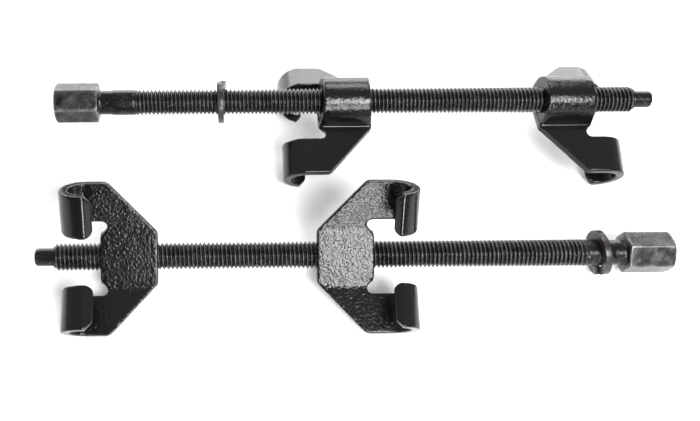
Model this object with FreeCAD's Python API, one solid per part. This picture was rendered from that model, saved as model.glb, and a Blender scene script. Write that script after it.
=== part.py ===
import FreeCAD, Part
import math
import os

# Coil spring compressor: a matched pair of identical two-jaw forcing-screw tools, lying side by side.
#
# Row frame, in millimetres: +X runs along both screws, +Z is up, the floor is z = 0 and the origin
# is on the floor under the middle of the pair. The far tool (+Y) has its screw head at -X and stands
# on its hooks like a tent. The near tool (-Y) has its head at +X and lies on its back.
#
# Tool frame: +X runs down the screw axis from the outer end of the head to the tip, +Z points from
# the screw axis out through the crown of the jaw bosses, and +Y lies across the jaws.
# Jaw frame: the same, but with x = 0 at the jaw's back edge and +X pointing towards its hooks.
#
# The screw's right-hand thread is drawn as closed rings with the pitch, depth and flank angle of the
# thread, so the solid has its outline and mass without its helix.

# Forcing screw
SCREW_LENGTH = 377.5
HEAD_LENGTH = 27.0
HEAD_ACROSS_FLATS = 22.0
HEAD_END_CHAMFER = 2.6
HEAD_SEAT_CHAMFER = 1.3
CHAMFER_SLOPE = math.tan(math.radians(30.0))
NECK_LENGTH = 8.0
NECK_RADIUS = 7.5
NECK_TAPER = 1.0
PLAIN_SHANK_END = 48.5
SHANK_RADIUS = 7.9
SHANK_TAPER = 0.5
THREAD_RADIUS = 8.0
THREAD_PITCH = 2.5
THREAD_DEPTH = 1.5
THREAD_CREST_FLAT = THREAD_PITCH / 8.0
FLANK_SLOPE = math.tan(math.radians(30.0))
THREAD_RUN_OUT = 3.0
POINT_RADIUS = 5.25
POINT_LENGTH = 11.5
POINT_ROUND = 1.5
THREAD_END_CHAMFER = 1.6

# Holes of the two jaws. The tapped hole is drawn at the outside of its thread, with running room.
TAPPED_BORE_RADIUS = 8.2
PLAIN_BORE_RADIUS = 8.4

# Spring lock washer
WASHER_BORE_RADIUS = 8.45
WASHER_SECTION_WIDTH = 5.0
WASHER_SECTION_HEIGHT = 3.5
WASHER_END_OFFSET = 2.4
WASHER_GAP_DEGREES = 7.0

# Jaw forging
BOSS_RADIUS = 15.0
BOSS_DRAFT = 2.5
BOSS_SINK = 2.0
PLATE_THICKNESS = 5.25
INNER_FACE_DROP = 12.25
PLATE_LENGTH = 33.6
BEND_HALF_WIDTH = 17.6
BEND_ANGLE = 18.0
BEND_INNER_RADIUS = 6.0
BACK_HALF_WIDTH = 15.3
SLANT_LENGTH = 27.0
ARM_INNER_EDGE = 21.5
ARM_OUTER_EDGE = 44.8
SHOULDER_ROUND = 5.0
BACK_CORNER_ROUND = 3.0
RELIEF_RADIUS = 3.0
RELIEF_DEPTH = 4.3
RELIEF_START = 12.5
HOOK_INNER_RADIUS = 9.0
LIP_OVERHANG = 1.8
LIP_BEVEL_LENGTH = 3.8
LIP_BEVEL_DEPTH = 3.2
LIP_INNER_CORNER_ROUND = 4.5
LIP_CUT_ROUND = 3.0

# How far each kind of jaw reaches past its back edge: to the outside of the curl, and to the tip
PLAIN_JAW_REACH = 56.2
PLAIN_JAW_TIP = 40.8
THREADED_JAW_REACH = 54.2
THREADED_JAW_TIP = 34.9
LIP_CORNER_CUT = {"plain": 4.0, "threaded": 4.4}

# Where the loose pieces of each tool stand along its screw, how its washer and screw are turned, and
# how far its washer leans over on the shank
PLAIN_JAW_BACK = {"far": 199.4, "near": 211.6}
THREADED_JAW_BACK = {"far": 305.8, "near": 304.1}
WASHER_PLACE = {"far": 104.4, "near": 41.6}
WASHER_TURN = {"far": 155.0, "near": 270.0}
WASHER_LEAN = {"far": 0.0, "near": -6.0}
SCREW_TURN = {"far": 34.5, "near": 51.4}

# How the two tools lie on the floor
SCREW_SPACING = 97.6
MIDDLE_OFFSET = {"far": 2.55, "near": -4.25}

# How far the shapes that cut or trim a piece run past its surface: barely, just clear and well clear
HAIR = 0.1
CUT_MARGIN = 1.0
WIDE_MARGIN = 10.0
CUTTER_HALF_HEIGHT = 60.0

# How close a measured place must be to a worked-out one to count as the same
SAME = 0.01

X_AXIS = FreeCAD.Vector(1, 0, 0)
Y_AXIS = FreeCAD.Vector(0, 1, 0)
Z_AXIS = FreeCAD.Vector(0, 0, 1)
ORIGIN = FreeCAD.Vector(0, 0, 0)


def point(x, y, z):
    return FreeCAD.Vector(x, y, z)


def face_from(points):
    return Part.Face(Part.makePolygon(points + [points[0]]))


def arc(centre, radius, start, middle, end, plane):
    """An arc through three directions, in degrees, where plane turns (a, b) into a 3-D point."""
    places = []
    for angle in (start, middle, end):
        a = centre[0] + radius * math.cos(math.radians(angle))
        b = centre[1] + radius * math.sin(math.radians(angle))
        places.append(plane(a, b))
    return Part.Arc(*places).toShape()


def line(start, end, plane):
    return Part.makeLine(plane(*start), plane(*end))


def turned(shape, axis, angle, base=ORIGIN):
    copy = shape.copy()
    copy.rotate(base, axis, angle)
    return copy


def moved(shape, x, y, z):
    copy = shape.copy()
    copy.translate(point(x, y, z))
    return copy


def along_x(shape):
    """Lay a shape built round the Z axis down so that its axis is the X axis."""
    return turned(shape, Y_AXIS, 90.0)


# ---------------------------------------------------------------- screw

def hex_head():
    """Hexagon with a flat facing +Z in the tool frame, turned off at both ends to soften its corners."""
    corner = HEAD_ACROSS_FLATS / 2 / math.cos(math.radians(30.0))
    corners = []
    for k in range(6):
        angle = math.radians(60.0 * k + 30.0)
        corners.append(point(corner * math.cos(angle), corner * math.sin(angle), 0))
    prism = face_from(corners).extrude(point(0, 0, HEAD_LENGTH))
    end_drop = HEAD_END_CHAMFER * CHAMFER_SLOPE
    seat_drop = HEAD_SEAT_CHAMFER * CHAMFER_SLOPE
    outside = corner + HAIR
    turned_profile = face_from([
        point(0, 0, 0),
        point(corner - HEAD_END_CHAMFER, 0, 0),
        point(outside, 0, end_drop),
        point(outside, 0, HEAD_LENGTH - seat_drop),
        point(corner - HEAD_SEAT_CHAMFER, 0, HEAD_LENGTH),
        point(0, 0, HEAD_LENGTH),
    ])
    return prism.common(turned_profile.revolve(ORIGIN, Z_AXIS, 360.0))


def ridge_half_width(radius):
    return THREAD_CREST_FLAT / 2 + (THREAD_RADIUS - radius) * FLANK_SLOPE


def thread_profile(start, end):
    """Outline points of the thread's grooves, each drawn as a closed ring one pitch from the next."""
    root = THREAD_RADIUS - THREAD_DEPTH
    root_half = THREAD_PITCH / 2 - ridge_half_width(root)
    crest_half = THREAD_PITCH / 2 - ridge_half_width(THREAD_RADIUS)
    profile = []
    for k in range(int((end - start) / THREAD_PITCH)):
        middle = start + (k + 0.5) * THREAD_PITCH
        profile.append(point(THREAD_RADIUS, 0, middle - crest_half))
        profile.append(point(root, 0, middle - root_half))
        profile.append(point(root, 0, middle + root_half))
        profile.append(point(THREAD_RADIUS, 0, middle + crest_half))
    return profile


def screw_bar():
    """The round part of the screw: neck, shank, thread and dog point."""
    thread_end = SCREW_LENGTH - POINT_LENGTH
    root = THREAD_RADIUS - THREAD_DEPTH
    neck_end = HEAD_LENGTH + NECK_LENGTH
    inside_head = HEAD_LENGTH - CUT_MARGIN
    outline = [
        point(0, 0, inside_head),
        point(NECK_RADIUS, 0, inside_head),
        point(NECK_RADIUS, 0, neck_end),
        point(SHANK_RADIUS, 0, neck_end + NECK_TAPER),
        point(SHANK_RADIUS, 0, PLAIN_SHANK_END - SHANK_TAPER),
        point(THREAD_RADIUS, 0, PLAIN_SHANK_END),
    ]
    outline += thread_profile(PLAIN_SHANK_END + THREAD_RUN_OUT, thread_end - THREAD_END_CHAMFER)
    outline += [
        point(THREAD_RADIUS, 0, thread_end - THREAD_END_CHAMFER),
        point(root, 0, thread_end),
        point(POINT_RADIUS, 0, thread_end),
        point(POINT_RADIUS, 0, SCREW_LENGTH - POINT_ROUND),
    ]
    edges = [Part.makeLine(a, b) for a, b in zip(outline, outline[1:])]
    plane = lambda r, z: point(r, 0, z)
    round_centre = (POINT_RADIUS - POINT_ROUND, SCREW_LENGTH - POINT_ROUND)
    edges.append(arc(round_centre, POINT_ROUND, 0.0, 45.0, 90.0, plane))
    edges.append(line((round_centre[0], SCREW_LENGTH), (0, SCREW_LENGTH), plane))
    edges.append(line((0, SCREW_LENGTH), (0, inside_head), plane))
    return Part.Face(Part.Wire(edges)).revolve(ORIGIN, Z_AXIS, 360.0)


def forcing_screw():
    """Head, neck, shank, thread and point in one piece, along +X of the tool frame."""
    return along_x(screw_bar().fuse(hex_head()).removeSplitter())


# ---------------------------------------------------------------- washer

def lock_washer():
    """One open coil of square-edged spring steel, its two ends standing apart, centred on x = 0."""
    sweep = 360.0 - WASHER_GAP_DEGREES
    middle = WASHER_BORE_RADIUS + WASHER_SECTION_WIDTH / 2
    helix = Part.makeHelix(WASHER_END_OFFSET * 360.0 / sweep, WASHER_END_OFFSET, middle)
    half_width = WASHER_SECTION_WIDTH / 2
    half_height = WASHER_SECTION_HEIGHT / 2
    section = [
        point(middle - half_width, 0, -half_height),
        point(middle + half_width, 0, -half_height),
        point(middle + half_width, 0, half_height),
        point(middle - half_width, 0, half_height),
    ]
    wire = Part.makePolygon(section + [section[0]])
    coil = Part.Wire(helix.Edges).makePipeShell([wire], True, True)
    return along_x(moved(coil, 0, 0, -WASHER_END_OFFSET / 2))


# ---------------------------------------------------------------- jaws

def folded_plate():
    """The middle of the jaw: a plate whose two sides bend down, away from the boss."""
    plane = lambda y, z: point(0, y, z)
    bend = math.radians(BEND_ANGLE)
    flat = BEND_HALF_WIDTH - BEND_INNER_RADIUS * math.tan(bend / 2)
    centre = (flat, -INNER_FACE_DROP - BEND_INNER_RADIUS)
    wing = ARM_INNER_EDGE - BEND_HALF_WIDTH
    wing_end = (BEND_HALF_WIDTH + wing * math.cos(bend), -INNER_FACE_DROP - wing * math.sin(bend))
    edges = []
    for side in (1.0, -1.0):
        here = lambda y, z, side=side: plane(side * y, z)
        ends = []
        for thickness in (0.0, PLATE_THICKNESS):
            radius = BEND_INNER_RADIUS + thickness
            edges.append(arc(centre, radius, 90.0, 90.0 - BEND_ANGLE / 2, 90.0 - BEND_ANGLE, here))
            after_bend = (centre[0] + radius * math.sin(bend), centre[1] + radius * math.cos(bend))
            end = (wing_end[0] + thickness * math.sin(bend), wing_end[1] + thickness * math.cos(bend))
            edges.append(line(after_bend, end, here))
            ends.append(end)
        edges.append(line(ends[0], ends[1], here))
    for height in (-INNER_FACE_DROP, PLATE_THICKNESS - INNER_FACE_DROP):
        edges.append(line((-flat, height), (flat, height), plane))
    section = Part.Face(Part.Wire(Part.sortEdges(edges)[0]))
    return section.extrude(point(PLATE_LENGTH, 0, 0))


def hook_arm(reach, tip, corner_cut):
    """One arm on the +Y side, ending in a hook that curls back on the inner side of the jaw."""
    inner = HOOK_INNER_RADIUS
    outer = inner + PLATE_THICKNESS
    curl = reach - outer
    plane = lambda x, depth: point(x, 0, -depth)
    edges = [
        line((0, -PLATE_THICKNESS), (0, 0), plane),
        line((0, 0), (curl, 0), plane),
        arc((curl, inner), inner, -90.0, 0.0, 90.0, plane),
        line((curl, 2 * inner), (tip, 2 * inner), plane),
        line((tip, 2 * inner), (tip, inner + outer), plane),
        line((tip, inner + outer), (curl, inner + outer), plane),
        arc((curl, inner), outer, 90.0, 0.0, -90.0, plane),
        line((curl, -PLATE_THICKNESS), (0, -PLATE_THICKNESS), plane),
    ]
    width = ARM_OUTER_EDGE - ARM_INNER_EDGE
    arm = Part.Face(Part.Wire(edges)).extrude(point(0, width + LIP_OVERHANG, 0))
    arm = shape_lip(moved(arm, 0, -LIP_OVERHANG, 0), tip, width, corner_cut)
    arm = arm.cut(inner_side_trim(reach))
    arm = moved(arm, 0, ARM_INNER_EDGE - BEND_HALF_WIDTH, 0)
    arm = turned(arm, X_AXIS, -BEND_ANGLE)
    return moved(arm, 0, BEND_HALF_WIDTH, -INNER_FACE_DROP)


def shape_lip(arm, tip, width, corner_cut):
    """Round one corner of the hook's lip, cut the other off on a slant and bevel the lip's outer edge."""
    corner = [e for e in lip_end_edges(arm, tip) if e.BoundBox.YMax < SAME]
    arm = arm.makeFillet(LIP_INNER_CORNER_ROUND, corner)
    before, beside = tip - CUT_MARGIN, width + CUT_MARGIN
    slant = face_from([
        point(before, beside, 0),
        point(tip + corner_cut, beside, 0),
        point(tip + corner_cut, width, 0),
        point(tip, width - corner_cut, 0),
        point(before, width - corner_cut, 0),
    ]).extrude(point(0, 0, -HOOK_INNER_RADIUS - PLATE_THICKNESS))
    arm = arm.cut(moved(slant, 0, 0, -HOOK_INNER_RADIUS - CUT_MARGIN))
    arm = arm.makeFillet(LIP_CUT_ROUND, lip_end_edges(arm, tip))
    outside = -2 * HOOK_INNER_RADIUS - PLATE_THICKNESS
    below = outside - CUT_MARGIN
    bevel = face_from([
        point(before, 0, below),
        point(before, 0, outside + LIP_BEVEL_DEPTH),
        point(tip, 0, outside + LIP_BEVEL_DEPTH),
        point(tip + LIP_BEVEL_LENGTH, 0, outside),
        point(tip + LIP_BEVEL_LENGTH, 0, below),
    ]).extrude(point(0, width + LIP_OVERHANG + 2 * CUT_MARGIN, 0))
    return arm.cut(moved(bevel, 0, -LIP_OVERHANG - CUT_MARGIN, 0))


def inner_side_trim(reach):
    """What to cut off the arm's inner side so that it widens evenly round the curl, up to the lip."""
    above = PLATE_THICKNESS + CUT_MARGIN
    beside = -LIP_OVERHANG - CUT_MARGIN
    lip_face = -2 * HOOK_INNER_RADIUS
    return face_from([
        point(-CUT_MARGIN, beside, above),
        point(-CUT_MARGIN, 0, above),
        point(-CUT_MARGIN, 0, 0),
        point(-CUT_MARGIN, -LIP_OVERHANG, lip_face),
        point(-CUT_MARGIN, beside, lip_face),
    ]).extrude(point(reach + 2 * CUT_MARGIN, 0, 0))


def lip_end_edges(arm, tip):
    """The edges that run through the thickness of the lip at its very end."""
    edges = []
    for edge in arm.Edges:
        box = edge.BoundBox
        through = box.ZLength > PLATE_THICKNESS - CUT_MARGIN and box.XLength < SAME and box.YLength < SAME
        if through and abs(box.XMin - tip) < SAME and box.ZMax < -HOOK_INNER_RADIUS:
            edges.append(edge)
    return edges


def arm_outer_y():
    """How far out the arms reach across the jaw, on their inner face."""
    return BEND_HALF_WIDTH + (ARM_OUTER_EDGE - BEND_HALF_WIDTH) * math.cos(math.radians(BEND_ANGLE))


def upright_prism(corners):
    """A tall prism on the given (x, y) corners, used to cut or trim a jaw along Z."""
    base = face_from([point(x, y, -CUTTER_HALF_HEIGHT) for x, y in corners])
    return base.extrude(point(0, 0, 2 * CUTTER_HALF_HEIGHT))


def jaw_outline(reach):
    """The jaw seen along Z: a narrow back edge that widens on a slant to the full width of the arms."""
    wide = arm_outer_y()
    slope = (wide - BACK_HALF_WIDTH) / SLANT_LENGTH
    clear = wide + WIDE_MARGIN
    slant_end = SLANT_LENGTH + WIDE_MARGIN / slope
    half = [(0.0, BACK_HALF_WIDTH), (slant_end, clear), (reach + WIDE_MARGIN, clear)]
    corners = half + [(x, -y) for x, y in reversed(half)]
    prism = upright_prism(corners)
    back = [e for e in prism.Edges if e.BoundBox.XMax < SAME and e.BoundBox.ZLength > CUTTER_HALF_HEIGHT]
    return prism.makeFillet(BACK_CORNER_ROUND, back)


def shoulder_round(shape):
    """Round the corner where each slanted side meets the outer edge of its arm."""
    corners = []
    for edge in shape.Edges:
        middle = edge.CenterOfMass
        near_slant_end = abs(middle.x - SLANT_LENGTH) < BACK_CORNER_ROUND
        outermost = abs(middle.y) > arm_outer_y() - CUT_MARGIN
        through = PLATE_THICKNESS - CUT_MARGIN < edge.BoundBox.ZLength < 2 * PLATE_THICKNESS
        if near_slant_end and outermost and through:
            corners.append(edge)
    return shape.makeFillet(SHOULDER_ROUND, corners)


def boss():
    """The arch over the screw, drawn in towards its crown at both ends."""
    plane = lambda y, z: point(0, y, z)
    foot = BOSS_SINK - INNER_FACE_DROP
    edges = [
        arc((0, 0), BOSS_RADIUS, 0.0, 90.0, 180.0, plane),
        line((-BOSS_RADIUS, 0), (-BOSS_RADIUS, foot), plane),
        line((-BOSS_RADIUS, foot), (BOSS_RADIUS, foot), plane),
        line((BOSS_RADIUS, foot), (BOSS_RADIUS, 0), plane),
    ]
    arch = Part.Face(Part.Wire(edges)).extrude(point(PLATE_LENGTH, 0, 0))
    beside = -2 * BOSS_RADIUS
    below, above = foot - CUT_MARGIN, BOSS_RADIUS + CUT_MARGIN
    side = face_from([
        point(0, beside, below),
        point(PLATE_LENGTH, beside, below),
        point(PLATE_LENGTH - BOSS_DRAFT, beside, above),
        point(BOSS_DRAFT, beside, above),
    ]).extrude(point(0, -2 * beside, 0))
    return arch.common(side)


def relief():
    """The room cut beside the root of the +Y arm: a slant that ends in a round, square to the arm."""
    edge = ARM_INNER_EDGE - BEND_HALF_WIDTH
    centre = (PLATE_LENGTH - RELIEF_DEPTH + RELIEF_RADIUS, edge - RELIEF_RADIUS)
    start = (PLATE_LENGTH, RELIEF_START - BEND_HALF_WIDTH)
    run, rise = centre[0] - start[0], centre[1] - start[1]
    reach = math.hypot(run, rise)
    turn = math.atan2(rise, run) + math.asin(RELIEF_RADIUS / reach)
    length = math.sqrt(reach ** 2 - RELIEF_RADIUS ** 2)
    touch = (start[0] + length * math.cos(turn), start[1] + length * math.sin(turn))
    beyond = PLATE_LENGTH + CUT_MARGIN
    wedge = upright_prism([start, touch, centre, (centre[0], edge), (beyond, edge), (beyond, start[1])])
    foot = point(centre[0], centre[1], -CUTTER_HALF_HEIGHT)
    cut = wedge.fuse(Part.makeCylinder(RELIEF_RADIUS, 2 * CUTTER_HALF_HEIGHT, foot))
    return moved(turned(cut, X_AXIS, -BEND_ANGLE), 0, BEND_HALF_WIDTH, -INNER_FACE_DROP)


def jaw_blank(reach, tip, corner_cut):
    """A drop-forged jaw before its hole is made."""
    arm = hook_arm(reach, tip, corner_cut)
    arms = [arm, arm.mirror(ORIGIN, Y_AXIS)]
    sheet = folded_plate().multiFuse(arms).common(jaw_outline(reach))
    sheet = shoulder_round(sheet.removeSplitter())
    sheet = sheet.cut(relief()).cut(relief().mirror(ORIGIN, Y_AXIS))
    return sheet.fuse(boss()).removeSplitter()


def jaw_hole(radius):
    """A straight hole right through the boss, round the screw axis."""
    length = PLATE_LENGTH + 2 * CUT_MARGIN
    return along_x(Part.makeCylinder(radius, length, point(0, 0, -CUT_MARGIN)))


def plain_jaw(tool):
    """The jaw nearer the head: its hole is plain, and its hooks point to the head."""
    blank = jaw_blank(PLAIN_JAW_REACH, PLAIN_JAW_TIP, LIP_CORNER_CUT["plain"])
    hole = jaw_hole(PLAIN_BORE_RADIUS)
    return moved(turned(blank.cut(hole), Z_AXIS, 180.0), PLAIN_JAW_BACK[tool], 0, 0)


def threaded_jaw(tool):
    """The jaw nearer the tip: its hole is tapped to match the screw, and its hooks point to the tip."""
    blank = jaw_blank(THREADED_JAW_REACH, THREADED_JAW_TIP, LIP_CORNER_CUT["threaded"])
    return moved(blank.cut(jaw_hole(TAPPED_BORE_RADIUS)), THREADED_JAW_BACK[tool], 0, 0)


# ---------------------------------------------------------------- the pair

def far_placement(shape):
    """Boss up, head at -X."""
    return moved(shape, MIDDLE_OFFSET["far"] - SCREW_LENGTH / 2, SCREW_SPACING / 2, 0)


def lying_roll():
    """How far the near tool rolls from straight upside down until an arm meets the floor."""
    bend = math.radians(BEND_ANGLE)
    across = arm_outer_y() + PLATE_THICKNESS * math.sin(bend)
    drop = INNER_FACE_DROP + (ARM_OUTER_EDGE - BEND_HALF_WIDTH) * math.sin(bend)
    drop -= PLATE_THICKNESS * math.cos(bend)
    return math.degrees(math.atan2(drop, across) + math.asin(BOSS_RADIUS / math.hypot(across, drop)))


def near_placement(shape):
    """On its back, head at +X, with its hollow side leaning towards -Y."""
    shape = turned(shape, Z_AXIS, 180.0)
    shape = turned(shape, X_AXIS, 180.0 + lying_roll())
    return moved(shape, MIDDLE_OFFSET["near"] + SCREW_LENGTH / 2, -SCREW_SPACING / 2, 0)


def tool(name, placement):
    """The four pieces of one tool, laid on the floor in the row frame."""
    washer = turned(turned(lock_washer(), X_AXIS, WASHER_TURN[name]), Z_AXIS, WASHER_LEAN[name])
    pieces = {
        name + "_forcing_screw": turned(forcing_screw(), X_AXIS, SCREW_TURN[name]),
        name + "_lock_washer": moved(washer, WASHER_PLACE[name], 0, 0),
        name + "_plain_jaw": plain_jaw(name),
        name + "_threaded_jaw": threaded_jaw(name),
    }
    pieces = {node: placement(shape) for node, shape in pieces.items()}
    jaws = [pieces[name + "_plain_jaw"], pieces[name + "_threaded_jaw"]]
    floor = min(jaw.optimalBoundingBox(False).ZMin for jaw in jaws)
    return {node: moved(shape, 0, 0, -floor) for node, shape in pieces.items()}


def main():
    pieces = {}
    pieces.update(tool("far", far_placement))
    pieces.update(tool("near", near_placement))
    boxes = [shape.optimalBoundingBox(False) for shape in pieces.values()]
    middle_x = (min(b.XMin for b in boxes) + max(b.XMax for b in boxes)) / 2
    middle_y = (min(b.YMin for b in boxes) + max(b.YMax for b in boxes)) / 2
    os.makedirs("parts", exist_ok=True)
    for node, shape in pieces.items():
        moved(shape, -middle_x, -middle_y, 0).exportStep("parts/" + node + ".step")


main()
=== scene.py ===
import math

import bmesh
import bpy
import numpy as np
from mathutils import Euler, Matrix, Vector, noise

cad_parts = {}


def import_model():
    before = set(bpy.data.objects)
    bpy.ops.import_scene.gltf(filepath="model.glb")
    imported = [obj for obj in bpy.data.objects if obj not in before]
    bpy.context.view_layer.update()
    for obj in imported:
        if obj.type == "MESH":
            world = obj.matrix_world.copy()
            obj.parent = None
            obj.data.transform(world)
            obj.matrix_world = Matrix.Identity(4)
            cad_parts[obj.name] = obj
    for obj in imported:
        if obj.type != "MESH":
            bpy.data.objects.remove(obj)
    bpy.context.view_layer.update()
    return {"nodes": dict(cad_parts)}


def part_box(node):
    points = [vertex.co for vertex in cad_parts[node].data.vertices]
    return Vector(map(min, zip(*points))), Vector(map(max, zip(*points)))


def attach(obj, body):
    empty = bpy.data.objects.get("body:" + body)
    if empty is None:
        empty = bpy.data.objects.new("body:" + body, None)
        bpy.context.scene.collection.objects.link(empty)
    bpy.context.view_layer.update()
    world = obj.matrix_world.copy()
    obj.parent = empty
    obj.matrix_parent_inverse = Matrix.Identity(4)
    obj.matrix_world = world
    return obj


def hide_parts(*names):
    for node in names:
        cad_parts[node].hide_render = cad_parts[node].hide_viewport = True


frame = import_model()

# The looks of a pair of coil spring compressors. The frame gives each piece its place; the sizes of the
# screw are named here again as the CAD has them, except that the crests of its thread are wider. This
# script gives each piece its worn, forged or painted surface, and adds the stage.
# Lengths are in millimetres and are multiplied by MM where Blender needs metres. Those of the materials,
# the lights and the camera are in metres from the start.
MM = 0.001
TOOLS = ("far", "near")

# ---- forcing screw
HEAD_LENGTH = 27.0
HEAD_ACROSS_FLATS = 22.0
CORNER_BAND = 1.55             # how far past the flats a point of the head counts as its corner
HEAD_END_RADIUS, HEAD_END_SPREAD, HEAD_END_DEPTH = 10.35, 2.35, 2.3
SEAT_RADIUS, SEAT_SPREAD = 11.55, 1.2
NECK_FILLET, NECK_FILLET_SLOPE = 1.1, 1.6
NECK_RADIUS, NECK_END = 7.5, 35.0
SHANK_RADIUS, SHANK_END = 7.9, 48.5
THREAD_RADIUS, ROOT_RADIUS, PITCH = 8.0, 6.5, 2.5
CREST_HALF_WIDTH = 0.26
CREST_ROUND, ROOT_ROUND = 0.16, 0.35
FLANK_SLOPE = math.tan(math.radians(30.0))
THREAD_FULL = 54.5             # where the thread has run in to its full depth
END_CHAMFER = 1.6
THREAD_END = 366.0
POINT_RADIUS, POINT_ROUND, SCREW_LENGTH = 5.25, 1.6, 377.5
STATIONS_PER_PITCH = 12

# ---- how far each part of the screw is rubbed to bare metal, from 0 to 1
HEAD_WEAR, CORNER_WEAR = 0.38, 0.35
THREAD_WEAR, CREST_WEAR = 0.17, 0.22

# ---- jaw forging
VOXEL = 0.62
SMOOTH_PASSES = 9
PLAIN_BORE = 8.4
PLUG_PLAY = 0.4                # how much wider than the hole is the plug that fills it before remeshing
PLUG_SPAN = (1.6, 32.0)        # where the plug starts and ends, from the jaw's back edge
TAPPED_PLAY = 0.25             # how much wider than the screw's thread is the hole's, in radius
THREAD_PLAY = 0.2              # and in the half width of its crests
CUTTER_OVERRUN = 2.0
WAVE_SCALE, WAVE_DEPTH = 0.12, 0.06
PIT_SCALE, PIT_DEPTH = 0.45, 0.045
OUTER_SKIN, HOLLOW_SKIN, BOSS_SKIN = 0.16, 0.84, 0.5
SHARP_JAW_ANGLE = 50

# ---- washer
WASHER_BEVEL = 1.2
SHARP_WASHER_ANGLE = 40

# How each tool's jaws are rolled about the screw: the angle of the boss crown from straight up
CROWN_ROLL = {"far": 0.0, "near": 217.47}

# ---- stage, in metres
FLOOR_HALF_SIZE = 3.0
FRONT_LEVEL, ROOM_LEVEL, WALL_LEVEL = 0.12, 0.55, 6.0
LIGHTS = {                     # place, aim, width, height and power in watts
    "key": ((0.33, -0.80, 0.92), (0.05, 0.0, 0.0), 0.62, 0.45, 24.0),
    "front": ((0.20, -1.25, 0.40), (0.05, 0.0, 0.0), 0.50, 0.30, 12.0),
    "back": ((0.22, 0.80, 1.05), (0.0, 0.0, 0.0), 0.60, 0.50, 8.0),
}
CAMERA_PLACE = (-0.08422, -0.32077, 0.45246)
CAMERA_TURN = (35.261, -0.319, -0.795)
CAMERA_LENS, CAMERA_SHIFT = 44.67, (0.1743, 0.001)


def smooth_step(low, high, x):
    t = np.clip((x - low) / (high - low), 0.0, 1.0)
    return t * t * (3 - 2 * t)


def soft_min(a, b, width):
    """The smaller of a and b, rounded over where they cross."""
    h = np.clip(0.5 + 0.5 * (b - a) / width, 0.0, 1.0)
    return b * (1 - h) + a * h - width * h * (1 - h)


def soft_max(a, b, width):
    return -soft_min(-a, -b, width)


# ---------------------------------------------------------------- reading the frame

def node_points(node):
    """A CAD node's vertices in millimetres, as an array."""
    mesh = frame["nodes"][node].data
    points = np.zeros(len(mesh.vertices) * 3)
    mesh.vertices.foreach_get("co", points)
    return points.reshape(-1, 3) / MM


class Axis:
    """Where a tool's screw lies: its head end, its direction, and cylinder coordinates round it."""

    def __init__(self, tool):
        low, high = (np.array(c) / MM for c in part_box(tool + "_forcing_screw"))
        self.sign = 1.0 if tool == "far" else -1.0
        self.head = low[0] if tool == "far" else high[0]
        self.y = (low[1] + high[1]) / 2
        self.z = (low[2] + high[2]) / 2

    def split(self, points):
        """Points as (distance from the head end, radius, angle right-handed about the screw)."""
        along = self.sign * (points[:, 0] - self.head)
        y, z = points[:, 1] - self.y, self.sign * (points[:, 2] - self.z)
        return along, np.hypot(y, z), np.arctan2(z, y)

    def place(self, along, radius, angle):
        return np.stack([
            self.head + self.sign * along,
            self.y + radius * np.cos(angle),
            self.z + self.sign * radius * np.sin(angle),
        ], axis=-1)


def mean_angle(angles):
    return math.atan2(np.sin(angles).mean(), np.cos(angles).mean())


def hex_phase(tool, axis):
    """The angle of one corner of the head."""
    along, radius, angle = axis.split(node_points(tool + "_forcing_screw"))
    corner = (radius > HEAD_ACROSS_FLATS / 2 + CORNER_BAND) & (along < HEAD_LENGTH)
    return mean_angle(6 * angle[corner]) / 6


# ---------------------------------------------------------------- mesh helpers

def mesh_object(name, vertices, faces):
    mesh = bpy.data.meshes.new(name)
    mesh.from_pydata((np.asarray(vertices) * MM).tolist(), [], faces)
    mesh.validate()
    obj = bpy.data.objects.new(name, mesh)
    bpy.context.scene.collection.objects.link(obj)
    return obj


def tidy_mesh(obj):
    """Weld doubles, point the faces outwards and shade smooth."""
    bm = bmesh.new()
    bm.from_mesh(obj.data)
    bmesh.ops.remove_doubles(bm, verts=bm.verts, dist=1e-6)
    bmesh.ops.recalc_face_normals(bm, faces=bm.faces)
    bm.to_mesh(obj.data)
    bm.free()
    shade_smooth(obj)
    obj.data.update()


def shade_smooth(obj):
    obj.data.polygons.foreach_set("use_smooth", [True] * len(obj.data.polygons))


def apply_modifiers(obj):
    graph = bpy.context.evaluated_depsgraph_get()
    graph.update()
    made = bpy.data.meshes.new_from_object(obj.evaluated_get(graph))
    obj.modifiers.clear()
    old = obj.data
    obj.data = made
    bpy.data.meshes.remove(old)


def lathe(name, axis, stations, angles, radius_at):
    """A closed body round the screw's axis, its radius given at every station and angle."""
    grid_s, grid_a = np.meshgrid(stations, angles, indexing="ij")
    radius = radius_at(grid_s, grid_a)
    rings = axis.place(grid_s, radius, grid_a).reshape(-1, 3)
    ends = axis.place(np.array([stations[0], stations[-1]]), np.zeros(2), np.zeros(2))
    count, rows = len(angles), len(stations)
    faces = []
    for i in range(rows - 1):
        a, b = i * count, (i + 1) * count
        for j in range(count):
            k = (j + 1) % count
            faces.append((a + j, a + k, b + k, b + j))
    first, last = rows * count, rows * count + 1
    top = (rows - 1) * count
    faces += [(first, (j + 1) % count, j) for j in range(count)]
    faces += [(last, top + j, top + (j + 1) % count) for j in range(count)]
    obj = mesh_object(name, np.vstack([rings, ends]), faces)
    tidy_mesh(obj)
    return obj


def thread_radius(along, angle, crest, root, half_crest):
    """Radius of a right-hand vee thread, with rounded crest and root."""
    turn = (along - PITCH * angle / (2 * math.pi)) / PITCH
    from_ridge = np.abs(turn - np.round(turn)) * PITCH
    flank = crest - (from_ridge - half_crest) / FLANK_SLOPE
    return soft_max(soft_min(flank, crest, CREST_ROUND), root, ROOT_ROUND)


# ---------------------------------------------------------------- forcing screw

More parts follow.
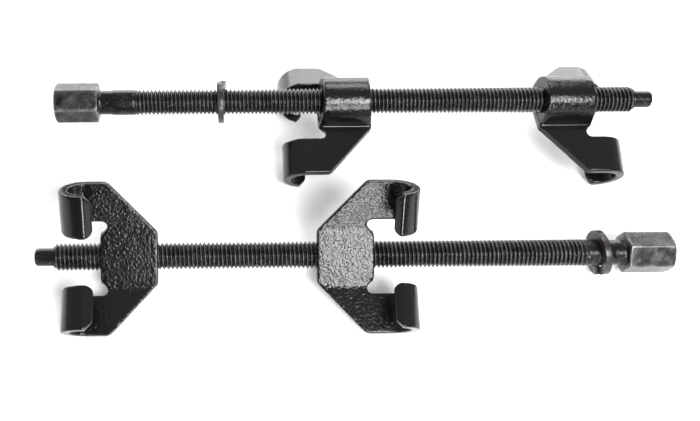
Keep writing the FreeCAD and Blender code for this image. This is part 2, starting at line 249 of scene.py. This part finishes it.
def screw_angles(corner):
    """Six fans of angles, closest together at the corners of the head."""
    spread = (0.0, 1.4, 3.2, 6.5, 12.0, 20.0)
    offsets = sorted({s * d for s in (-1, 1) for d in spread} | {30.0})
    fan = [math.radians(60.0 * k + d) + corner for k in range(6) for d in offsets]
    return np.array(fan)


def screw_stations():
    """Distances from the head end at which the screw gets a ring, closest where its outline turns."""
    head = [0.0, 0.02, 0.35, 0.8, 1.3, 1.9, 2.6, 4.0, 8.0, 14.0, 20.0, 23.0]
    seat = HEAD_LENGTH - np.array([1.6, 1.0, 0.6, 0.3, 0.08, 0.0])
    neck = HEAD_LENGTH + np.array([0.02, 0.15, 0.4, 0.8, 2.0, 5.0])
    shoulder = NECK_END + np.array([-0.8, -0.2, 0.4, 1.2, 4.0, 8.0, 12.0])
    step = PITCH / STATIONS_PER_PITCH
    thread = np.arange(SHANK_END, THREAD_END - 0.01, step)
    point = THREAD_END + np.array([0.0, 0.05, 0.4, 1.0, 4.0, 8.0, 9.8, 10.4, 10.9, 11.2, 11.4, 11.48, 11.5])
    return np.concatenate([head, seat, neck, shoulder, thread, point])


def screw_radius(along, angle, corner):
    """Radius of the whole screw: hexagon, neck, shank, thread and rounded point."""
    flat = HEAD_ACROSS_FLATS / 2
    from_flat = (angle - corner + math.pi / 6) % (math.pi / 3) - math.pi / 6
    from_flat = math.pi / 6 - np.abs(from_flat)
    hexagon = soft_min(flat / np.cos(from_flat), flat / math.cos(math.pi / 6) - 0.12, 0.25)
    from_rim = 1 - np.clip(along / HEAD_END_DEPTH, 0, 1)
    outer_end = HEAD_END_RADIUS + HEAD_END_SPREAD * np.sqrt(np.clip(1 - from_rim ** 2, 0, 1))
    seat_end = SEAT_RADIUS + SEAT_SPREAD * np.sqrt(np.clip(HEAD_LENGTH - along, 0, 1))
    head = soft_min(soft_min(hexagon, outer_end, 0.3), seat_end, 0.2)
    body = NECK_RADIUS + (SHANK_RADIUS - NECK_RADIUS) * smooth_step(NECK_END - 0.4, NECK_END + 1.2, along)
    fillet = NECK_RADIUS + NECK_FILLET - NECK_FILLET_SLOPE * (along - HEAD_LENGTH)
    body = soft_max(body, fillet, 0.4)
    crest = THREAD_RADIUS - END_CHAMFER * smooth_step(THREAD_END - 1.7, THREAD_END - 0.1, along)
    thread = thread_radius(along, angle, crest, ROOT_RADIUS, CREST_HALF_WIDTH)
    cut = smooth_step(SHANK_END, THREAD_FULL, along)
    body = np.where(along > SHANK_END, thread * cut + SHANK_RADIUS * (1 - cut), body)
    from_tip = np.clip((along - (SCREW_LENGTH - POINT_ROUND)) / POINT_ROUND, 0, 1)
    point = POINT_RADIUS - POINT_ROUND + POINT_ROUND * np.sqrt(np.clip(1 - from_tip ** 2, 0, 1))
    body = np.where(along > THREAD_END + 0.02, point, body)
    return np.where(along <= HEAD_LENGTH, head, body)


def forcing_screw(tool, axis):
    corner = hex_phase(tool, axis)
    screw = lathe(tool + "_screw_visual", axis, screw_stations(), screw_angles(corner),
                  lambda s, a: screw_radius(s, a, corner))
    mark_ridges(screw, axis)
    screw.data.materials.append(MATERIALS["screw_steel"])
    dress(screw, tool + "_forcing_screw", tool + "_screw_body")


def mark_ridges(screw, axis):
    """Note where the thread's crests stand, for the rubbed look of the steel."""
    points = np.zeros(len(screw.data.vertices) * 3)
    screw.data.vertices.foreach_get("co", points)
    along, radius, angle = axis.split(points.reshape(-1, 3) / MM)
    ridge = smooth_step(ROOT_RADIUS + 0.7, THREAD_RADIUS - 0.15, radius)
    corner = smooth_step(HEAD_ACROSS_FLATS / 2 + 0.9, HEAD_ACROSS_FLATS / 2 + 1.5, radius)
    rim = 1 - smooth_step(0.3, 1.6, np.minimum(along, np.abs(HEAD_LENGTH - along)))
    head = HEAD_WEAR + CORNER_WEAR * np.maximum(corner, rim * (radius > 9.0))
    on_thread = smooth_step(SHANK_END, THREAD_FULL, along) * (along < THREAD_END + 0.01)
    ridge = THREAD_WEAR + CREST_WEAR * ridge * on_thread
    ridge = np.where(along <= HEAD_LENGTH, head, ridge)
    attribute = screw.data.attributes.new("ridge", "FLOAT", "POINT")
    attribute.data.foreach_set("value", ridge.astype(np.float32))


def dress(obj, node, body):
    """Put a visual piece in the place of its CAD node, on the body that moves it."""
    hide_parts(node)
    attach(obj, body)


# ---------------------------------------------------------------- jaws

def crown_direction(tool):
    """The way out from the screw axis through the crown of the tool's bosses."""
    roll = math.radians(CROWN_ROLL[tool])
    return np.array([0.0, -math.sin(roll), math.cos(roll)])


def cutter(tool, kind, axis):
    """The space of the jaw's hole: plain, or threaded with running room."""
    points = node_points("%s_%s_jaw" % (tool, kind))
    along = axis.split(points)[0]
    step = PITCH / STATIONS_PER_PITCH
    stations = np.arange(along.min() - CUTTER_OVERRUN, along.max() + CUTTER_OVERRUN, step)
    angles = np.linspace(0, 2 * math.pi, 96, endpoint=False)
    if kind == "plain":
        radius_at = lambda s, a: np.full_like(s, PLAIN_BORE)
        stations = stations[[0, -1]]
    else:
        crest, root = THREAD_RADIUS + TAPPED_PLAY, ROOT_RADIUS + TAPPED_PLAY
        radius_at = lambda s, a: thread_radius(s, a, crest, root, CREST_HALF_WIDTH + THREAD_PLAY)
    return lathe("cutter", axis, stations, angles, radius_at)


def forged_skin(obj, axis, crown):
    """Press the shallow unevenness of a hammered forging into the mesh, most of it on the hollow side."""
    mesh = obj.data
    count = len(mesh.vertices)
    points, normals = np.zeros(count * 3), np.zeros(count * 3)
    mesh.vertices.foreach_get("co", points)
    mesh.vertex_normals.foreach_get("vector", normals)
    points, normals = points.reshape(-1, 3) / MM, normals.reshape(-1, 3)
    depth = -((points - np.array([0.0, axis.y, axis.z])) @ crown)
    hollow = smooth_step(0.45, 0.85, -(normals @ crown)) * (1 - smooth_step(22.0, 26.0, depth))
    boss = smooth_step(-2.0, 3.0, -depth)
    skin = OUTER_SKIN + HOLLOW_SKIN * hollow + BOSS_SKIN * boss
    wave, pits = np.zeros(count), np.zeros(count)
    for i, p in enumerate(points):
        place = Vector(p)
        wave[i] = noise.noise(place * WAVE_SCALE)
        pits[i] = noise.noise(place * PIT_SCALE) + 0.6 * noise.noise(place * (2 * PIT_SCALE))
    push = WAVE_DEPTH * wave + skin * PIT_DEPTH * pits
    points += normals * push[:, None]
    mesh.vertices.foreach_set("co", (points * MM).ravel())
    attribute = mesh.attributes.new("skin", "FLOAT", "POINT")
    attribute.data.foreach_set("value", skin.astype(np.float32))
    mesh.update()


def jaw(tool, kind, axis):
    """A forged jaw: the CAD shape with every edge softened, its skin pressed in and its hole cut clean."""
    node = "%s_%s_jaw" % (tool, kind)
    obj = bpy.data.objects.new(tool + "_" + kind + "_jaw_visual", frame["nodes"][node].data.copy())
    obj.data.materials.clear()
    bpy.context.scene.collection.objects.link(obj)
    tidy_mesh(obj)
    crown = crown_direction(tool)
    along = axis.split(node_points(node))[0]
    towards_tip = 1.0 if kind == "threaded" else -1.0
    back = along.min() if kind == "threaded" else along.max()
    span = sorted(back + towards_tip * end for end in PLUG_SPAN)
    plug = lathe("plug", axis, np.array(span), np.linspace(0, 2 * math.pi, 64, endpoint=False),
                 lambda s, a: np.full_like(s, PLAIN_BORE + PLUG_PLAY))
    join(obj, plug)
    remesh = obj.modifiers.new("remesh", "REMESH")
    remesh.mode = "VOXEL"
    remesh.voxel_size = VOXEL * MM
    smooth = obj.modifiers.new("smooth", "SMOOTH")
    smooth.factor = 0.5
    smooth.iterations = SMOOTH_PASSES
    apply_modifiers(obj)
    forged_skin(obj, axis, crown)
    hole = cutter(tool, kind, axis)
    cut = obj.modifiers.new("hole", "BOOLEAN")
    cut.operation = "DIFFERENCE"
    cut.solver = "EXACT"
    cut.object = hole
    apply_modifiers(obj)
    bpy.data.objects.remove(hole)
    obj.data.materials.clear()
    obj.data.materials.append(MATERIALS["jaw_paint"])
    shade_smooth(obj)
    obj.data.set_sharp_from_angle(angle=math.radians(SHARP_JAW_ANGLE))
    dress(obj, node, "%s_%s_jaw_body" % (tool, kind))


def join(obj, other):
    """Add the other object's mesh to this one's and drop the other."""
    bm = bmesh.new()
    bm.from_mesh(obj.data)
    bm.from_mesh(other.data)
    bm.to_mesh(obj.data)
    bm.free()
    bpy.data.objects.remove(other)


# ---------------------------------------------------------------- washers

def washer(tool):
    """A lock washer: the CAD coil with its edges rounded over."""
    node = tool + "_lock_washer"
    obj = bpy.data.objects.new(tool + "_washer_visual", frame["nodes"][node].data.copy())
    obj.data.materials.clear()
    bpy.context.scene.collection.objects.link(obj)
    tidy_mesh(obj)
    bevel = obj.modifiers.new("bevel", "BEVEL")
    bevel.width = WASHER_BEVEL * MM
    bevel.segments = 4
    bevel.limit_method = "ANGLE"
    bevel.angle_limit = math.radians(SHARP_WASHER_ANGLE)
    apply_modifiers(obj)
    obj.data.materials.append(MATERIALS["washer_steel"])
    shade_smooth(obj)
    obj.data.set_sharp_from_angle(angle=math.radians(SHARP_WASHER_ANGLE))
    dress(obj, node, tool + "_washer_body")


# ---------------------------------------------------------------- materials

class Nodes:
    """A small helper to write a material's node tree in few lines."""

    def __init__(self, name):
        self.material = bpy.data.materials.new(name)
        self.material.use_nodes = True
        self.tree = self.material.node_tree
        self.tree.nodes.clear()
        self.output = self.tree.nodes.new("ShaderNodeOutputMaterial")

    def add(self, kind, settings=None, **inputs):
        node = self.tree.nodes.new("ShaderNode" + kind)
        for key, value in (settings or {}).items():
            setattr(node, key, value)
        for key, value in inputs.items():
            self.set(node, key.replace("_", " "), value)
        return node

    def set(self, node, key, value):
        socket = node.inputs[int(key[1:])] if key[0] == "i" and key[1:].isdigit() else node.inputs[key]
        if isinstance(value, bpy.types.NodeSocket):
            self.tree.links.new(value, socket)
        else:
            socket.default_value = value

    def math(self, operation, a, b=0.0):
        return self.add("Math", {"operation": operation}, i0=a, i1=b).outputs[0]

    def ramp(self, value, stops):
        node = self.add("ValToRGB", i0=value)
        elements = node.color_ramp.elements
        while len(elements) < len(stops):
            elements.new(0.5)
        for element, (position, level) in zip(elements, stops):
            element.position = position
            element.color = (level, level, level, 1.0) if isinstance(level, float) else level
        return node.outputs[0]

    def noise(self, scale, detail=3.0, roughness=0.5, vector=None):
        node = self.add("TexNoise", Scale=scale, Detail=detail, Roughness=roughness)
        self.tree.links.new(vector or self.place(), node.inputs["Vector"])
        return node.outputs["Fac"]

    def place(self):
        if not hasattr(self, "coordinates"):
            self.coordinates = self.add("TexCoord").outputs["Object"]
        return self.coordinates


def jaw_paint():
    """Gloss black enamel over a forging: hammered on the hollow side, smoother outside."""
    n = Nodes("jaw_paint")
    skin = n.add("Attribute", {"attribute_name": "skin"}).outputs["Fac"]
    hammered = n.math("ADD", n.noise(600.0, 1.0, 0.4), n.math("MULTIPLY", n.noise(1250.0, 1.0, 0.4), 0.6))
    orange_peel = n.noise(300.0, 1.0)
    height = n.math("ADD", n.math("MULTIPLY", hammered, skin), n.math("MULTIPLY", orange_peel, 0.12))
    bump = n.add("Bump", Strength=1.0, Distance=0.00024, Height=height)
    dull = n.ramp(n.noise(260.0, 4.0, 0.6), [(0.35, 0.15), (0.7, 0.24)])
    shader = n.add("BsdfPrincipled", Base_Color=(0.004, 0.0034, 0.0034, 1.0), Roughness=dull, IOR=1.5,
                   Specular_IOR_Level=0.32, Normal=bump.outputs[0])
    n.tree.links.new(shader.outputs[0], n.output.inputs[0])
    return n.material


def screw_steel():
    """Oiled black oxide, rubbed bright on the thread crests and scuffed on the shank and head."""
    n = Nodes("screw_steel")
    ridge = n.add("Attribute", {"attribute_name": "ridge"}).outputs["Fac"]
    grain = n.noise(1400.0, 3.0)
    patches = n.noise(160.0, 5.0, 0.65)
    scuffs = n.ramp(n.noise(700.0, 5.0, 0.75), [(0.56, 0.0), (0.68, 1.0)])
    wear = n.math("MULTIPLY", n.math("ADD", ridge, n.math("MULTIPLY", scuffs, 0.5)), patches)
    bump = n.add("Bump", Strength=0.6, Distance=0.00012, Height=grain)
    rough = n.ramp(patches, [(0.3, 0.17), (0.7, 0.34)])
    colour = n.ramp(wear, [(0.1, (0.010, 0.010, 0.011, 1.0)), (0.85, (0.30, 0.30, 0.31, 1.0))])
    shader = n.add("BsdfPrincipled", Base_Color=colour, Metallic=0.6, Roughness=rough,
                   Specular_IOR_Level=0.35, Normal=bump.outputs[0])
    n.tree.links.new(shader.outputs[0], n.output.inputs[0])
    return n.material


def washer_steel():
    """Dark spring steel, hardly rubbed."""
    n = Nodes("washer_steel")
    patches = n.noise(300.0, 4.0, 0.6)
    bump = n.add("Bump", Strength=0.3, Distance=0.0001, Height=n.noise(900.0, 3.0))
    rough = n.ramp(patches, [(0.3, 0.22), (0.7, 0.38)])
    shader = n.add("BsdfPrincipled", Base_Color=(0.022, 0.019, 0.018, 1.0), Metallic=0.2, Roughness=rough,
                   Normal=bump.outputs[0])
    n.tree.links.new(shader.outputs[0], n.output.inputs[0])
    return n.material


def floor_white():
    n = Nodes("floor_white")
    shade = n.ramp(n.noise(3.0, 2.0), [(0.3, 0.88), (0.7, 0.9)])
    shader = n.add("BsdfPrincipled", Base_Color=shade, Roughness=0.6, Specular_IOR_Level=0.1,
                   Emission_Color=(1, 1, 1, 1), Emission_Strength=0.12)
    n.tree.links.new(shader.outputs[0], n.output.inputs[0])
    return n.material


# ---------------------------------------------------------------- stage

def stage():
    """The pale floor under the tools."""
    bm = bmesh.new()
    bmesh.ops.create_grid(bm, x_segments=8, y_segments=8, size=FLOOR_HALF_SIZE)
    mesh = bpy.data.meshes.new("floor")
    bm.to_mesh(mesh)
    bm.free()
    floor = bpy.data.objects.new("floor", mesh)
    floor.data.materials.append(MATERIALS["floor_white"])
    bpy.context.scene.collection.objects.link(floor)


def area_light(name, place, aim, width, height, power):
    light = bpy.data.lights.new(name, "AREA")
    light.shape = "RECTANGLE"
    light.size, light.size_y, light.energy = width, height, power
    obj = bpy.data.objects.new(name, light)
    obj.location = place
    obj.rotation_euler = (Vector(aim) - Vector(place)).to_track_quat("-Z", "Y").to_euler()
    bpy.context.scene.collection.objects.link(obj)


def world():
    """A dim room with a bright white wall low down behind the tools."""
    sky = bpy.data.worlds.new("studio")
    sky.use_nodes = True
    tree = sky.node_tree
    background = tree.nodes["Background"]
    direction = tree.nodes.new("ShaderNodeTexCoord")
    split = tree.nodes.new("ShaderNodeSeparateXYZ")
    tree.links.new(direction.outputs["Generated"], split.inputs[0])
    behind = tree.nodes.new("ShaderNodeMapRange")
    low = tree.nodes.new("ShaderNodeMapRange")
    for node, socket, start, end in ((behind, "Y", 0.45, 0.85), (low, "Z", 0.55, 0.25)):
        node.interpolation_type = "SMOOTHSTEP"
        tree.links.new(split.outputs[socket], node.inputs["Value"])
        node.inputs["From Min"].default_value = start
        node.inputs["From Max"].default_value = end
    wall = tree.nodes.new("ShaderNodeMath")
    wall.operation = "MULTIPLY"
    tree.links.new(behind.outputs[0], wall.inputs[0])
    tree.links.new(low.outputs[0], wall.inputs[1])
    room = tree.nodes.new("ShaderNodeMapRange")
    tree.links.new(split.outputs["Y"], room.inputs["Value"])
    level = tree.nodes.new("ShaderNodeMapRange")
    tree.links.new(wall.outputs[0], level.inputs["Value"])
    tree.links.new(room.outputs[0], level.inputs["To Min"])
    limits = {"From Min": -0.7, "From Max": 0.0, "To Min": FRONT_LEVEL, "To Max": ROOM_LEVEL}
    for key, value in limits.items():
        room.inputs[key].default_value = value
    level.inputs["To Max"].default_value = WALL_LEVEL
    tree.links.new(level.outputs[0], background.inputs["Strength"])
    background.inputs["Color"].default_value = (1.0, 0.985, 0.98, 1.0)
    bpy.context.scene.world = sky


def camera():
    """A camera above and in front of the near tool, looking down across both."""
    data = bpy.data.cameras.new("camera")
    data.sensor_width = 36.0
    data.lens = CAMERA_LENS
    data.shift_x, data.shift_y = CAMERA_SHIFT
    data.clip_start = 0.01
    obj = bpy.data.objects.new("camera", data)
    obj.location = CAMERA_PLACE
    obj.rotation_euler = Euler([math.radians(a) for a in CAMERA_TURN])
    bpy.context.scene.collection.objects.link(obj)
    bpy.context.scene.camera = obj


MATERIALS = {
    "jaw_paint": jaw_paint(),
    "screw_steel": screw_steel(),
    "washer_steel": washer_steel(),
    "floor_white": floor_white(),
}

for tool in TOOLS:
    axis = Axis(tool)
    forcing_screw(tool, axis)
    washer(tool)
    for kind in ("plain", "threaded"):
        jaw(tool, kind, axis)

stage()
world()
for name, (place, aim, width, height, power) in LIGHTS.items():
    area_light(name, place, aim, width, height, power)
camera()
bpy.context.scene.view_settings.view_transform = "Standard"
